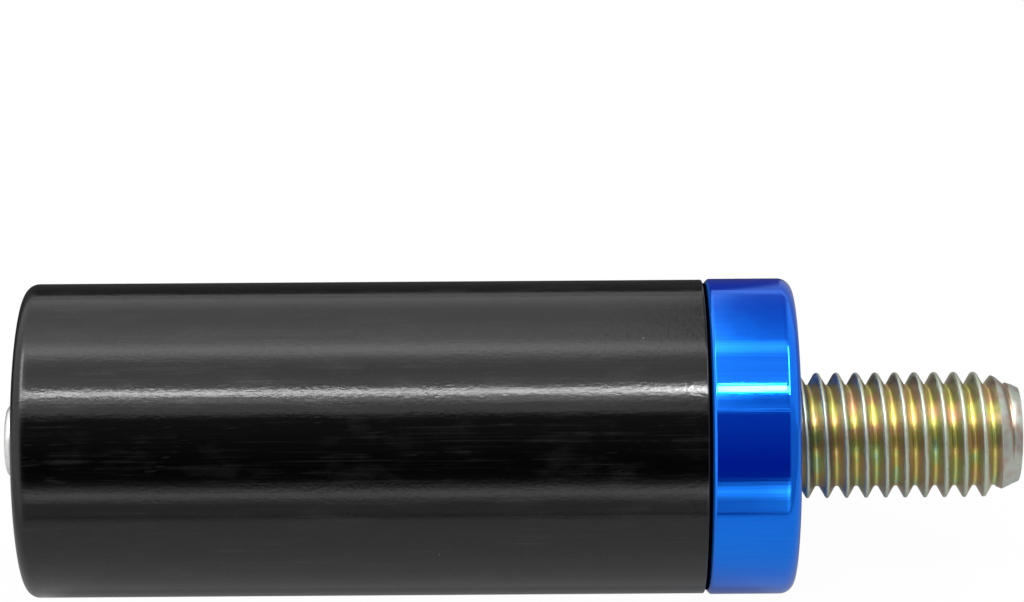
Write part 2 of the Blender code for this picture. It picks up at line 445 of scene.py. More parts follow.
@dataclass(frozen=True)
class BlackPlastic:
    """Black engineering plastic, turned and then polished along its length, with light handling marks.

    It is matt on the nose's rounding. Its end face and the land under the collar are an unlit black: painted
    shade in the seam.
    """

    nose: float
    seam: float
    slot: Slot = Slot.BLACK_PLASTIC
    colour: Colour = (0.0011, 0.0011, 0.0012)
    dust: Colour = (0.09, 0.09, 0.09)
    # Painted shade: the unlit black of the end face and the land in the seam.
    seam_shade_black: Colour = (0.0006, 0.0006, 0.0008)
    roughness: float = 0.11
    gloss: float = 0.44
    coat: float = 0.25
    polish: Grain = Grain(0.00007, detail=1.0)
    streaks: Grain = Grain(0.00022, (50.0, 1.0, 1.0), detail=3.0, roughness=0.6)
    streak_height: float = 0.0000016
    pores: Grain = Grain(0.00021, (1.7, 1.0, 1.0), roughness=0.6)
    pore_height: float = 0.0000065
    patches: Grain = Grain(0.0045, (1.6, 1.0, 1.0), detail=1.0)
    pore_floor: float = 0.55
    ring_pitch: float = 0.00022
    ring_height: float = 0.0000022
    clouds: Grain = Grain(0.0016, (2.4, 1.0, 1.0), detail=4.0, roughness=0.6)
    smudge_dust: float = 0.045
    smudge_roughness: float = 0.04
    rub_dust: float = 0.09
    rub_roughness: float = 0.05
    scratches: Grain = Grain(0.00013, (100.0, 1.0, 1.0), detail=1.0)
    slants: Grain = Grain(0.00013, (150.0, 1.0, 1.0), (0.0, 0.05, 0.12), detail=0.0)
    scratched: Grain = Grain(0.004, (2.0, 1.0, 1.0))
    scratch_dust: float = 0.07
    scratch_roughness: float = 0.04
    specks_per_metre: float = 1100.0
    matt_span: Span = (0.0012, 0.0004)
    matt_roughness: float = 0.20
    # Span of the painted seam shade, measured from the slider's end.
    seam_shade_span: Span = (-0.00004, 0.00001)

    def material(self) -> bpy.types.Material:
        """Build the material.

        Returns:
            The material, named after its slot.
        """
        material, board = Board.of_material(self.slot.value)
        x, radius = board.station()
        streaks = board.grain(self.streaks)
        clouds = board.grain(self.clouds)
        smudged = clouds.step(0.5, 0.72)
        rubbed = streaks.step(0.5, 0.72) * clouds.step(0.42, 0.6)
        scratches = self._scratches(board)
        marks = self.smudge_dust * smudged + self.rub_dust * rubbed
        marks = marks.largest(self.scratch_dust * scratches).largest(self._specks(board))
        roughness = self.roughness + self.smudge_roughness * smudged + self.rub_roughness * rubbed
        roughness = roughness + self.scratch_roughness * scratches
        roughness = roughness + self.matt_roughness * x.near(self.nose, self.matt_span)
        plastic = board.principled(
            {
                "Base Color": board.blend(marks, self.colour, self.dust),
                "Roughness": roughness,
                "Normal": self._relief(board, streaks, radius),
                "Specular IOR Level": self.gloss,
                "Coat Weight": self.coat * board.grain(self.polish).step(0.3, 0.7),
                "Coat Roughness": self.roughness,
            }
        )
        # Painted shade: past the seam the plastic turns to an unlit black, which stands in for the shadow in
        # the joint under the collar.
        seam_shade_black = board.principled({"Base Color": self.seam_shade_black, "Roughness": 1.0, "Specular IOR Level": 0.0})
        board.show(board.mixed(x.near(self.seam, self.seam_shade_span), plastic, seam_shade_black))
        return material

    def _relief(self, board: Board, streaks: Value, radius: Value) -> bpy.types.NodeSocket:
        """Fine relief: lengthwise streaks, patchy pores, and the tool's rings on the faces.

        Args:
            board: the board to build on.
            streaks: the streaks' noise.
            radius: distance from the axis.

        Returns:
            The normal.
        """
        patches = board.grain(self.patches).step(0.4, 0.6)
        pores = board.grain(self.pores) * patches.between(self.pore_floor, 1.0)
        rings = board.waves(radius, self.ring_pitch) * streaks
        normal = board.bump(streaks, self.streak_height)
        normal = board.bump(pores, self.pore_height, normal)
        return board.bump(rings, self.ring_height, normal)

    def _scratches(self, board: Board) -> Value:
        """Hairline scratches: peaks of long drawn noise, most of them lengthwise and a few slanting.

        Args:
            board: the board to build on.

        Returns:
            1 on a scratch and 0 beside it.
        """
        where = board.grain(self.scratched)
        lengthwise = board.grain(self.scratches).step(0.60, 0.76) * where.step(0.38, 0.56)
        slanting = board.grain(self.slants).step(0.72, 0.80) * where.step(0.52, 0.44)
        return lengthwise.largest(slanting)

    def _specks(self, board: Board) -> Value:
        """Specks of dust, a few to the centimetre.

        Args:
            board: the board to build on.

        Returns:
            1 on a speck and 0 beside it.
        """
        sockets = {"Vector": board.place(), "Scale": self.specks_per_metre}
        cells = board.add("ShaderNodeTexVoronoi", None, sockets)
        distance = Value(board, cells.outputs["Distance"])
        pick = board.axes(cells.outputs["Color"])[0]
        return distance.step(0.09, 0.03) * pick.step(0.94, 0.99)


@dataclass(frozen=True)
class BlueAnodising:
    """Bright blue anodising: turned metal under a dyed film, with painted shade on the back edge at the
    seam.
    """

    seam: float
    slot: Slot = Slot.BLUE_ANODISING
    metal: Colour = (0.0, 0.27, 1.0)
    dark_metal: Colour = (0.0, 0.235, 0.97)
    metal_roughness: float = 0.05
    dye: Colour = (0.0, 0.035, 0.93)
    film: float = 0.25
    film_gloss: float = 0.63
    film_roughness: float = 0.05
    # Painted shade on the back edge at the seam: a darker, duller blue with more of the film.
    edge_shade_dye: Colour = (0.0, 0.10, 0.50)
    edge_shade_film: float = 0.6
    edge_shade_span: Span = (0.00019, 0.00012)
    lines: Grain = Grain(0.00014, (60.0, 1.0, 1.0))
    line_height: float = 0.0000028
    swirls: Grain = Grain(0.0011)
    swirl_roughness: float = 0.05
    ring_pitch: float = 0.00015
    ring_height: float = 0.0000009

    def material(self) -> bpy.types.Material:
        """Build the material.

        Returns:
            The material, named after its slot.
        """
        material, board = Board.of_material(self.slot.value)
        x, radius = board.station()
        lines = board.grain(self.lines)
        normal = board.bump(lines, self.line_height)
        normal = board.bump(board.waves(radius, self.ring_pitch), self.ring_height, normal)
        # Painted shade: the back edge next to the slider turns a darker, duller blue.
        in_edge_shade = x.near(self.seam, self.edge_shade_span)
        metal = board.principled(
            {
                "Base Color": board.blend(lines.step(0.38, 0.62), self.dark_metal, self.metal),
                "Metallic": 1.0,
                "Roughness": self.metal_roughness + self.swirl_roughness * board.grain(self.swirls),
                "Normal": normal,
            }
        )
        dyed = board.principled(
            {
                "Base Color": board.blend(in_edge_shade, self.dye, self.edge_shade_dye),
                "Roughness": self.film_roughness,
                "Normal": normal,
                "Specular IOR Level": self.film_gloss,
            }
        )
        board.show(board.mixed(in_edge_shade.between(self.film, self.edge_shade_film), metal, dyed))
        return material


@dataclass(frozen=True)
class Helix:
    """A right-hand thread's pitch, and the station of one of its crests straight below the axis."""

    pitch: float
    crest: float

    def share(self, board: Board) -> Value:
        """Tell how far a point lies along the pitch.

        Args:
            board: the board of the material that asks.

        Returns:
            0 on a crest, growing along X over the flank and the root to 1 on the next crest.
        """
        x, y, z = board.axes(board.place())
        return ((x - self.crest) / self.pitch - y.angle_to(-z) / math.tau).fraction()


@dataclass(frozen=True)
class YellowZinc:
    """Yellow passivated zinc on a rolled thread: gold and olive flanks, yellow roots, silver crests.

    The roots' hue shifts with the side that faces up in the camera's view, gold and pink above and green and
    teal below: a painted reflection tint. The chamfer at the tip is turned bare, and brown stands in the
    groove behind it, partly the plating's colour and partly painted shade.
    """

    helix: Helix
    tip: float
    slot: Slot = Slot.YELLOW_ZINC
    roughness: float = 0.24
    film: Grain = Grain(0.0014, roughness=0.6)
    fine: Grain = Grain(0.00020, detail=3.0, roughness=0.7)
    fine_share: float = 0.25
    fine_height: float = 0.000006
    fine_roughness: float = 0.16
    tints: Stops = (
        (0.0, (0.44, 0.37, 0.22)),
        (0.34, (0.50, 0.40, 0.24)),
        (0.43, (0.56, 0.42, 0.33)),
        (0.49, (0.48, 0.41, 0.26)),
        (0.55, (0.42, 0.44, 0.26)),
        (0.62, (0.50, 0.49, 0.27)),
        (0.72, (0.43, 0.50, 0.37)),
        (0.85, (0.54, 0.44, 0.24)),
        (1.0, (0.48, 0.41, 0.28)),
    )
    root_tints: Stops = (
        (0.36, (0.78, 0.52, 0.30)),
        (0.44, (0.77, 0.60, 0.19)),
        (0.53, (0.71, 0.67, 0.17)),
        (0.61, (0.58, 0.70, 0.28)),
        (0.70, (0.44, 0.69, 0.50)),
    )
    root_span: Span = (0.16, 0.08)
    root_share: float = 0.8
    # Painted reflection tint: the roots' hue shifts along the camera's up direction (upward), warmer above
    # and greener below.
    upward: tuple[float, float] = (0.788, 0.616)
    painted_tint_span: Span = (0.35, -0.45)
    painted_tint_shift: tuple[float, float] = (-0.045, 0.055)
    # Brown over the tip's end, seen in the groove behind the chamfer: partly the plating's colour, partly
    # painted shade that keeps the groove from shining.
    groove: Colour = (0.44, 0.32, 0.25)
    groove_brown_and_shade_span: Span = (-0.0017, -0.0012)
    groove_brown_and_shade_share: float = 0.7
    turned_tints: Stops = (
        (0.36, (0.60, 0.51, 0.46)),
        (0.46, (0.57, 0.58, 0.53)),
        (0.54, (0.58, 0.61, 0.55)),
        (0.62, (0.50, 0.58, 0.46)),
    )
    point_radius: float = 0.003
    point_slope: float = 0.466
    turned_span: Span = (-0.07, -0.045)
    turned_share: float = 0.55
    turned_lines: Grain = Grain(0.00005, (1.0, 30.0, 30.0))
    turned_height: float = 0.000008
    turned_roughness: float = 0.2
    silver: Colour = (0.60, 0.65, 0.52)
    crest_radius: float = 0.004
    worn_depth: float = 0.00012
    worn_waver: float = 0.00010
    worn_softness: float = 0.00008
    worn_share: float = 0.6
    worn_roughness: float = 0.14
    soot: Colour = (0.10, 0.09, 0.06)
    soot_specks: Grain = Grain(0.00009, detail=1.0)
    soot_share: float = 0.5

    def material(self) -> bpy.types.Material:
        """Build the material.

        Returns:
            The material, named after its slot.
        """
        material, board = Board.of_material(self.slot.value)
        x, y, z = board.axes(board.place())
        radius = (y * y + z * z).root()
        film = board.grain(self.film)
        fine = board.grain(self.fine)
        hue = film * (1.0 - self.fine_share) + fine * self.fine_share
        # Painted reflection tint: the roots turn warmer on the side that faces up in the camera's view and
        # greener below, as their highlights look there.
        height = (y * self.upward[0] + z * self.upward[1]) / self.crest_radius
        root_hue_with_painted_tint = hue + height.step(*self.painted_tint_span).between(*self.painted_tint_shift)
        worn_edge = self.crest_radius - self.worn_depth - self.worn_waver * film.step(0.4, 0.6)
        worn = ((radius - worn_edge) / self.worn_softness).step(0.0, 1.0)
        worn = worn * fine.step(0.35, 0.5).between(self.worn_share, 1.0)
        cone = self.point_radius + (self.tip - x) * self.point_slope
        turned = ((radius - cone) / MILLIMETRE).step(*self.turned_span)
        turned = turned * film.step(0.35, 0.55).between(self.turned_share, 1.0)
        lines = board.grain(self.turned_lines)
        # Brown in the tip's groove: partly the plating's colour, partly painted shade.
        in_groove_brown_and_shade = x.near(self.tip, self.groove_brown_and_shade_span)
        in_root = abs(self.helix.share(board) - 0.5).step(*self.root_span) * (1.0 - in_groove_brown_and_shade)
        flanks = board.tint(hue, self.tints)
        colour = board.blend(in_root * self.root_share, flanks, board.tint(root_hue_with_painted_tint, self.root_tints))
        colour = board.blend(in_groove_brown_and_shade * self.groove_brown_and_shade_share, colour, self.groove)
        colour = board.blend(turned, colour, board.tint(hue, self.turned_tints))
        colour = board.blend(worn, colour, self.silver)
        specks = board.grain(self.soot_specks).step(0.68, 0.78)
        colour = board.blend(specks * self.soot_share, colour, self.soot)
        roughness = self.roughness + self.fine_roughness * fine + self.worn_roughness * worn
        normal = board.bump(fine, self.fine_height)
        board.show(
            board.principled(
                {
                    "Base Color": colour,
                    "Metallic": 1.0,
                    "Roughness": roughness + self.turned_roughness * turned * lines,
                    "Normal": board.bump(lines * turned, self.turned_height, normal),
                }
            )
        )
        return material


@dataclass(frozen=True)
class TurnedMetal:
    """Turned metal, dull in places, with faint rings from the tool along its length and on its faces."""

    slot: Slot
    colour: Colour
    dull: Colour
    roughness: float
    dull_roughness: float
    tarnish: Grain
    ring_pitch: float
    ring_height: float
    face_rings: float

    def material(self) -> bpy.types.Material:
        """Build the material.

        Returns:
            The material, named after its slot.
        """
        material, board = Board.of_material(self.slot.value)
        x, radius = board.station()
        tarnish = board.grain(self.tarnish)
        rings = board.waves(x + radius * self.face_rings, self.ring_pitch)
        board.show(
            board.principled(
                {
                    "Base Color": board.blend(tarnish.step(0.4, 0.7), self.colour, self.dull),
                    "Metallic": 1.0,
                    "Roughness": self.roughness + self.dull_roughness * tarnish,
                    "Normal": board.bump(rings, self.ring_height),
                }
            )
        )
        return material


@dataclass(frozen=True)
class BrightSteel(TurnedMetal):
    """Pale satin steel."""

    slot: Slot = Slot.BRIGHT_STEEL
    colour: Colour = (0.86, 0.86, 0.85)
    dull: Colour = (0.74, 0.74, 0.73)
    roughness: float = 0.4
    dull_roughness: float = 0.12
    tarnish: Grain = Grain(0.0006, detail=3.0)
    ring_pitch: float = 0.00006
    ring_height: float = 0.0000006
    face_rings: float = 1.0


@dataclass(frozen=True)
class InsertBrass(TurnedMetal):
    """Plain brass, a little dull, with no rings on its faces."""

    slot: Slot = Slot.INSERT_BRASS
    colour: Colour = (0.62, 0.45, 0.20)
    dull: Colour = (0.42, 0.29, 0.13)
    roughness: float = 0.28
    dull_roughness: float = 0.15
    tarnish: Grain = Grain(0.0015, detail=3.0)
    ring_pitch: float = 0.00012
    ring_height: float = 0.000001
    face_rings: float = 0.0


# Turned pieces


@dataclass(frozen=True)
class Corner:
    """A corner of a half section: its station, its radius, and the size of its rounding."""

    x: float
    radius: float
    rounding: float = 0.0
    steps: int = 5


@dataclass
class Lathe:
    """Turns half sections about the X axis."""

    facets: int = 192
    support: float = 0.00006
    weld: float = 0.000002
    sharp_deg: float = 35.0

    def section(self, bm: bmesh.types.BMesh, corners: Iterable[Corner], closed: bool) -> None:
        """Draw a half section below the axis, round its corners and add supports beside them.

        Args:
            bm: the empty bmesh to draw in.
            corners: the section's corners in order.
            closed: whether the last corner joins the first.
        """
        corners = list(corners)
        points = [bm.verts.new((corner.x, 0.0, -corner.radius)) for corner in corners]
        pairs = list(zip(points, points[1:]))
        if closed:
            pairs.append((points[-1], points[0]))
        for pair in pairs:
            bm.edges.new(pair)
        for corner, point in zip(corners, points):
            if corner.rounding:
                bmesh.ops.bevel(
                    bm,
                    geom=[point],
                    offset=corner.rounding,
                    offset_type="OFFSET",
                    segments=corner.steps,
                    profile=0.5,
                    affect="VERTICES",
                    material=-1,
                )
        for edge in list(bm.edges):
            length = edge.calc_length()
            if length > 4 * self.support:
                made, middle = bmesh.utils.edge_split(edge, edge.verts[0], self.support / length)
                rest = made if made.calc_length() > edge.calc_length() else edge
                bmesh.utils.edge_split(rest, rest.other_vert(middle), self.support / rest.calc_length())

    def turn(self, corners: Iterable[Corner], closed: bool) -> bmesh.types.BMesh:
        """Turn a half section through a full circle.

        Args:
            corners: the section's corners in order.
            closed: whether the section is a closed loop, as in a piece with a bore.

        Returns:
            The closed solid.
        """
        bm = bmesh.new()
        self.section(bm, corners, closed)
        bmesh.ops.spin(
            bm,
            geom=bm.verts[:] + bm.edges[:],
            cent=(0.0, 0.0, 0.0),
            axis=AXIS,
            angle=math.tau,
            steps=self.facets,
            use_merge=True,
        )
        self.close(bm)
        return bm

    def close(self, bm: bmesh.types.BMesh) -> None:
        """Merge doubles and turn the faces outwards.

        Args:
            bm: the bmesh to close.
        """
        bmesh.ops.remove_doubles(bm, verts=bm.verts, dist=self.weld)
        bmesh.ops.dissolve_degenerate(bm, dist=self.weld / 10, edges=bm.edges)
        bmesh.ops.recalc_face_normals(bm, faces=bm.faces)


def stand(name: str, data: bpy.types.ID) -> bpy.types.Object:
    """Stand new data in the scene.

    Args:
        name: the new object's name.
        data: its mesh, light or camera.

    Returns:
        The object.
    """
    made = bpy.data.objects.new(name, data)
    bpy.context.scene.collection.objects.link(made)
    return made


def solid(name: str, bm: bmesh.types.BMesh) -> bpy.types.Object:
    """Stand a finished bmesh in the scene.

    Args:
        name: the name of the new mesh and object.
        bm: the bmesh, which is freed.

    Returns:
        The object.
    """
    mesh = bpy.data.meshes.new(name)
    bm.to_mesh(mesh)
    bm.free()
    return stand(name, mesh)


@dataclass
class Piece:
    """One physical piece that stands for a node of the model, with the finish it wears and its lathe."""

    node: ClassVar[str]
    name: ClassVar[str]
    body: ClassVar[str] = "root"
    finish: Finish
    lathe: Lathe = field(default_factory=Lathe)
    start: float = field(init=False)
    end: float = field(init=False)
    radius: float = field(init=False)

    def __post_init__(self) -> None:
        """Measure the node that the piece stands for."""
        low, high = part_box(self.node)
        self.start = low.x
        self.end = high.x
        self.radius = high.z

    def mesh(self) -> bmesh.types.BMesh:
        """Shape the piece as a closed solid."""
        raise NotImplementedError

    def build(self) -> bpy.types.Object:
        """Shape the piece, dress it and put it in the node's place.

        Returns:
            The finished object.
        """
        piece = solid(self.name, self.mesh())
        piece.data.shade_smooth()
        piece.data.set_sharp_from_angle(angle=math.radians(self.lathe.sharp_deg))
        piece.data.materials.append(self.finish.material())
        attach(piece, self.body)
        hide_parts(self.node)
        return piece


@dataclass
class SliderBody(Piece):
    """The black slider: rounded nose with a key hole, stepped bore, and a land under the collar."""

    node: ClassVar[str] = "slider_body"
    name: ClassVar[str] = "turned_slider"
    nose_radius: float = 0.0008
    edge_break: float = 0.0001
    land_height: float = 0.00017
    land_inset: float = 0.00022
    key_hole_radius: float = 0.002509
    mouth_chamfer: float = 0.0003
    mouth_softness: float = 0.0001
    bore_radius: float = 0.0062
    bore_depth: float = 0.0202
    recess_radius: float = 0.0077
    recess_depth: float = 0.0014
    cone_length: float = 0.00228

    def mesh(self) -> bmesh.types.BMesh:
        """Turn the slider.

        Returns:
            The closed solid.
        """
        bore_floor = self.end - self.bore_depth
        recess_floor = self.end - self.recess_depth
        land = self.end + self.land_height
        return self.lathe.turn(
            [
                Corner(land, self.recess_radius),
                Corner(land, self.radius - self.land_inset),
                Corner(self.end, self.radius - self.land_inset),
                Corner(self.end, self.radius, self.edge_break, 4),
                Corner(self.start, self.radius, self.nose_radius, 10),
                Corner(self.start, self.key_hole_radius + self.mouth_chamfer, self.mouth_softness, 2),
                Corner(self.start + self.mouth_chamfer, self.key_hole_radius),
                Corner(bore_floor - self.cone_length, self.key_hole_radius),
                Corner(bore_floor, self.bore_radius),
                Corner(recess_floor, self.bore_radius),
                Corner(recess_floor, self.recess_radius),
            ],
            closed=True,
        )


@dataclass
class Collar(Piece):
    """The blue collar: rounded at the frame, chamfered at the slider and in the bore."""

    node: ClassVar[str] = "collar"
    name: ClassVar[str] = "anodised_collar"
    face_radius: float = 0.0009
    back_chamfer: float = 0.0002
    chamfer_softness: float = 0.00006
    bore_radius: float = 0.0042
    bore_chamfer: float = 0.0004

    def mesh(self) -> bmesh.types.BMesh:
        """Turn the collar.

        Returns:
            The closed solid.
        """
        mouth = self.bore_radius + self.bore_chamfer
        soft = self.chamfer_softness
        return self.lathe.turn(
            [
                Corner(self.end, mouth, soft, 2),
                Corner(self.end, self.radius, self.face_radius, 12),
                Corner(self.start + self.back_chamfer, self.radius, soft, 3),
                Corner(self.start, self.radius - self.back_chamfer, soft, 3),
                Corner(self.start, mouth, soft, 2),
                Corner(self.start + self.bore_chamfer, self.bore_radius),
                Corner(self.end - self.bore_chamfer, self.bore_radius),
            ],
            closed=True,
        )


@dataclass
class EndPlug(Piece):
    """The steel plug: crowned head, grooved shank in the key hole."""

    node: ClassVar[str] = "end_plug"
    name: ClassVar[str] = "crowned_plug"
    edge_radius: float = 0.00035
    crown: float = 0.0001
    grooves: int = 3
    groove_pitch: float = 0.0014
    groove_depth: float = 0.0003

    def mesh(self) -> bmesh.types.BMesh:
        """Turn the plug.

        Returns:
            The closed solid.
        """
        floor = self.radius - self.groove_depth
        slope = self.groove_depth / 2
        corners = [Corner(self.end, 0.0), Corner(self.end, floor)]
        for groove in range(self.grooves):
            top = self.end - self.groove_depth - groove * self.groove_pitch
            middle = top - self.groove_pitch / 2
            corners.append(Corner(top, self.radius))
            corners.append(Corner(middle, self.radius))
            corners.append(Corner(middle - slope, floor))
            corners.append(Corner(top - self.groove_pitch + slope, floor))
        last = self.end - self.groove_depth - self.grooves * self.groove_pitch
        corners.append(Corner(last, self.radius))
        corners.append(Corner(self.start + self.crown, self.radius, self.edge_radius, 6))
        corners.append(Corner(self.start + self.crown / 4, self.radius / 2))
        corners.append(Corner(self.start, 0.0))
        return self.lathe.turn(corners, closed=False)


@dataclass
class ThreadedStud(Piece):
    """The zinc-plated stud: rolled right-hand thread over its whole length, key socket in its inner end."""

    node: ClassVar[str] = "stud"
    name: ClassVar[str] = "threaded_stud"
    PITCH: ClassVar[float] = 0.00125
    PHASE: ClassVar[float] = 0.0005209
    depth_share: float = 0.61343
    crest_share: float = 0.125
    crest_softness: float = 0.00006
    root_softness: float = 0.00011
    steps_per_turn: int = 96
    point_radius: float = 0.0030
    chamfer_deg: float = 25.0
    run_out: float = 0.00006
    key_radius: float = 0.002309
    key_depth: float = 0.0050
    drill_point_deg: float = 118.0
    flank_deg: float = 30.0
    plain_end: float = 0.0001
    sway: float = 0.000018
    sways_per_mm: float = 1.3
    shakes_per_mm: float = 3.1
    nick: float = 0.00006
    nicks_per_mm: float = 2.2
    nick_shift: Vector = field(default_factory=lambda: Vector((7.0, 3.0, 5.0)))
    nick_threshold: float = 0.42
    nick_range: float = 0.4
    tip_rings: tuple[tuple[float, float], ...] = (
        (0.975, 0.0),
        (0.30, 0.0),
        (0.27, 0.0),
        (0.24, 0.00006),
        (0.02, 0.0003),
    )

    @classmethod
    def helix(cls) -> Helix:
        """Place the thread on the node.

        Returns:
            The thread's helix.
        """
        return Helix(cls.PITCH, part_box(cls.node)[0].x + cls.PHASE)

    def mesh(self) -> bmesh.types.BMesh:
        """Roll the thread, point both ends, and sink the key socket.

        Returns:
            The closed solid.
        """
        bm = self._rolled()
        self._mark_crests(bm)
        self._point_ends(bm)
        self._close_tip(bm)
        self._sink_socket(bm)
        self.lathe.close(bm)
        return bm

    def _rolled(self) -> bmesh.types.BMesh:
        """Wind one pitch of the thread form along the axis, and trim it to length.

        Returns:
            The thread's skin, open at both ends.
        """
        bm = bmesh.new()
        crest = self.radius
        root = crest - self.depth_share * self.PITCH
        half_crest = self.crest_share * self.PITCH / 2
        flank = self.depth_share * self.PITCH * math.tan(math.radians(self.flank_deg))
        begin = self.helix().crest - 2 * self.PITCH
        form = [
            Corner(begin - self.PITCH / 2, root),
            Corner(begin - half_crest - flank, root, self.root_softness, 4),
            Corner(begin - half_crest, crest, self.crest_softness, 3),
            Corner(begin + half_crest, crest, self.crest_softness, 3),
            Corner(begin + half_crest + flank, root, self.root_softness, 4),
            Corner(begin + self.PITCH / 2, root),
        ]
        Lathe(support=self.PITCH).section(bm, form, closed=False)
        bmesh.ops.spin(
            bm,
            geom=bm.verts[:] + bm.edges[:],
            cent=(0.0, 0.0, 0.0),
            axis=AXIS,
            dvec=AXIS * (self.PITCH / self.steps_per_turn),
            angle=math.tau,
            steps=self.steps_per_turn,
        )
        wound = self.PITCH
        while wound < self.end - self.start + 4 * self.PITCH:
            copy = bmesh.ops.duplicate(bm, geom=bm.verts[:] + bm.edges[:] + bm.faces[:])["geom"]
            moved = [item for item in copy if isinstance(item, bmesh.types.BMVert)]
            bmesh.ops.translate(bm, vec=AXIS * wound, verts=moved)
            wound *= 2
        bmesh.ops.remove_doubles(bm, verts=bm.verts, dist=self.lathe.weld)
        for station, side in ((self.start, -1.0), (self.end, 1.0)):
            bmesh.ops.bisect_plane(
                bm,
                geom=bm.verts[:] + bm.edges[:] + bm.faces[:],
                plane_co=AXIS * station,
                plane_no=AXIS * side,
                clear_outer=True,
            )
        return bm

    def _mark_crests(self, bm: bmesh.types.BMesh) -> None:
        """Let the crests waver a little, as rolled ones do, and nick them here and there.

        Args:
            bm: the thread's skin.
        """
        root = self.radius - self.depth_share * self.PITCH
        for vert in bm.verts:
            reach = math.hypot(vert.co.y, vert.co.z)
            height = max(0.0, (reach - root) / (self.radius - root))
            spot = vert.co / MILLIMETRE
            sway = noise.noise(spot * self.sways_per_mm) + 0.5 * noise.noise(spot * self.shakes_per_mm)
            if self.start + self.plain_end < vert.co.x < self.end - self.plain_end:
                vert.co.x += self.sway * sway * height ** 2
            bite = noise.noise(spot * self.nicks_per_mm + self.nick_shift) - self.nick_threshold
            dent = max(0.0, bite) / self.nick_range
            shrink = 1.0 - self.nick * dent * height ** 4 / reach
            vert.co.y *= shrink
            vert.co.z *= shrink

    def _point_ends(self, bm: bmesh.types.BMesh) -> None:
        """Taper both ends, with the thread running out softly on the taper.

        Args:
            bm: the thread's skin.
        """
        slope = math.tan(math.radians(self.chamfer_deg))
        for vert in bm.verts:
            reach = math.hypot(vert.co.y, vert.co.z)
            inset = max(0.0, min(vert.co.x - self.start, self.end - vert.co.x))
            room = self.point_radius + inset * slope
            if reach > room - 3 * self.run_out:
                over = (reach - room) / self.run_out
                reach_now = room - self.run_out * math.log1p(math.exp(-over)) if over > -30 else reach
                vert.co.y *= reach_now / reach
                vert.co.z *= reach_now / reach

    def _end_edges(self, bm: bmesh.types.BMesh, station: float) -> list[bmesh.types.BMEdge]:
        """Find the open edges at one end.

        Args:
            bm: the thread's skin.
            station: where the end is.

        Returns:
            The boundary edges there.
        """
        return [
            edge
            for edge in bm.edges
            if edge.is_boundary and all(abs(vert.co.x - station) < self.lathe.weld for vert in edge.verts)
        ]

    @staticmethod
    def _extruded(
        bm: bmesh.types.BMesh, edges: list[bmesh.types.BMEdge]
    ) -> tuple[list[bmesh.types.BMEdge], list[bmesh.types.BMVert]]:
        """Extrude a loop of open edges in place.

        Args:
            bm: the bmesh that holds them.
            edges: the loop.

        Returns:
            The new loop's edges and its vertices.
        """
        made = bmesh.ops.extrude_edge_only(bm, edges=edges)["geom"]
        verts = [item for item in made if isinstance(item, bmesh.types.BMVert)]
        loop = [item for item in made if isinstance(item, bmesh.types.BMEdge) and item.is_boundary]
        return loop, verts

    def _close_tip(self, bm: bmesh.types.BMesh) -> None:
        """Close the tip with a flat face that has a faint centre, ring by ring inwards.

        Args:
            bm: the thread's skin.
        """
        ring = self._end_edges(bm, self.end)
        for share, sink in self.tip_rings:
            ring, verts = self._extruded(bm, ring)
            now = max(math.hypot(vert.co.y, vert.co.z) for vert in verts)
            shrink = self.point_radius * share / now
            bmesh.ops.scale(bm, vec=(1.0, shrink, shrink), verts=verts)
            for vert in verts:
                vert.co.x = self.end - sink
        bmesh.ops.edgeloop_fill(bm, edges=ring)

    def _sink_socket(self, bm: bmesh.types.BMesh) -> None:
        """Close the inner end round a hexagon socket with a drill point at its floor.

        Args:
            bm: the thread's skin.
        """
        hexagon = bmesh.ops.create_circle(
            bm,
            segments=6,
            radius=self.key_radius,
            matrix=Matrix.Translation(AXIS * self.start) @ Matrix.Rotation(math.pi / 2, 4, "Y"),
        )["verts"]
        rim = list({edge for vert in hexagon for edge in vert.link_edges})
        bmesh.ops.bridge_loops(bm, edges=self._end_edges(bm, self.start) + rim)
        ring, floor = self._extruded(bm, rim)
        bmesh.ops.translate(bm, vec=AXIS * self.key_depth, verts=floor)
        _, tip = self._extruded(bm, ring)
        sink = self.key_radius / math.tan(math.radians(self.drill_point_deg / 2))
        bmesh.ops.translate(bm, vec=AXIS * sink, verts=tip)
        bmesh.ops.pointmerge(bm, verts=tip, merge_co=AXIS * (self.start + self.key_depth + sink))


@dataclass
class ThreadInsert:
    """The brass insert inside the slider: the model's own node, in a better finish."""

    node: ClassVar[str] = "thread_insert"
    finish: Finish

    def dress(self, node: bpy.types.Object) -> bpy.types.Object:
        """Give the node its material.

        Args:
            node: the model's node.

        Returns:
            The same node.
        """
        material = self.finish.material()
        for place in node.material_slots:
            place.material = material
        if not node.material_slots:
            node.data.materials.append(material)
        return node


# Studio


@dataclass(frozen=True)
class SoftLight:
    """A rectangular light that hangs round the bobbin and faces it."""

    name: str
    elevation_deg: float
    lean_deg: float
    distance: float
    width: float
    length: float
    radiance: float

    def build(self) -> bpy.types.Object:
        """Hang the light.

        Returns:
            The light's object.
        """
        data = bpy.data.lights.new(self.name, "AREA")
        data.shape = "RECTANGLE"
        data.size = self.length
        data.size_y = self.width
        data.energy = self.radiance * math.pi * self.width * self.length
        lamp = stand(self.name, data)
        elevation = math.radians(self.elevation_deg)
        lean = math.radians(self.lean_deg)
        upward = Vector((0.0, -math.cos(elevation), math.sin(elevation)))
        towards = upward * math.cos(lean) + AXIS * math.sin(lean)
        lamp.location = towards * self.distance
        side = AXIS * math.cos(lean) - upward * math.sin(lean)
        lamp.matrix_world = Matrix.Translation(lamp.location) @ Matrix(
            (side, towards.cross(side), towards)
        ).transposed().to_4x4()
        lamp.visible_camera = False
        return lamp


@dataclass(frozen=True)
class Zone:
    """A share of light that fades in over one span of angles in degrees, and out over another."""

    share: float
    rise: Span
    fall: Span | None = None

    def at(self, elevation: Value) -> Value:
        """Give the share at an angle; it is 0 outside the zone."""
        share = self.share * elevation.step(*self.rise)
        return share * elevation.step(*self.fall) if self.fall else share


